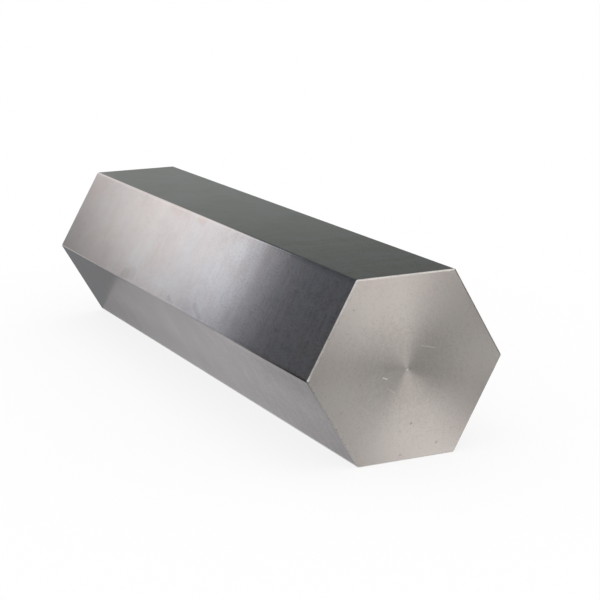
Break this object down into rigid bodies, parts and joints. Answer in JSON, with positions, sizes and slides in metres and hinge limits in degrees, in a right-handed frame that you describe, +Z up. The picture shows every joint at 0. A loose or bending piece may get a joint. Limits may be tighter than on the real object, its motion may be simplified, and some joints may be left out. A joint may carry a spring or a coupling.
{
  "type": "hexagonal bar stock",
  "caption": "Length of solid hexagonal steel bar with ground flats, eased long corners and square faced ends with a broken rim.",
  "frame": {"origin": "middle of the flat that the bar lies on", "axes": "+X along the bar towards its right end face, +Y across the bar, +Z up, square to the flat that it lies on"},
  "size_m": [0.2, 0.0574, 0.05],
  "materials": {
    "bright_steel": "ground flats with a fine cross grain, and ends faced in a lathe"
  },
  "bodies": {
    "root": {"hex_bar": "bright_steel"}
  },
  "joints": []
}
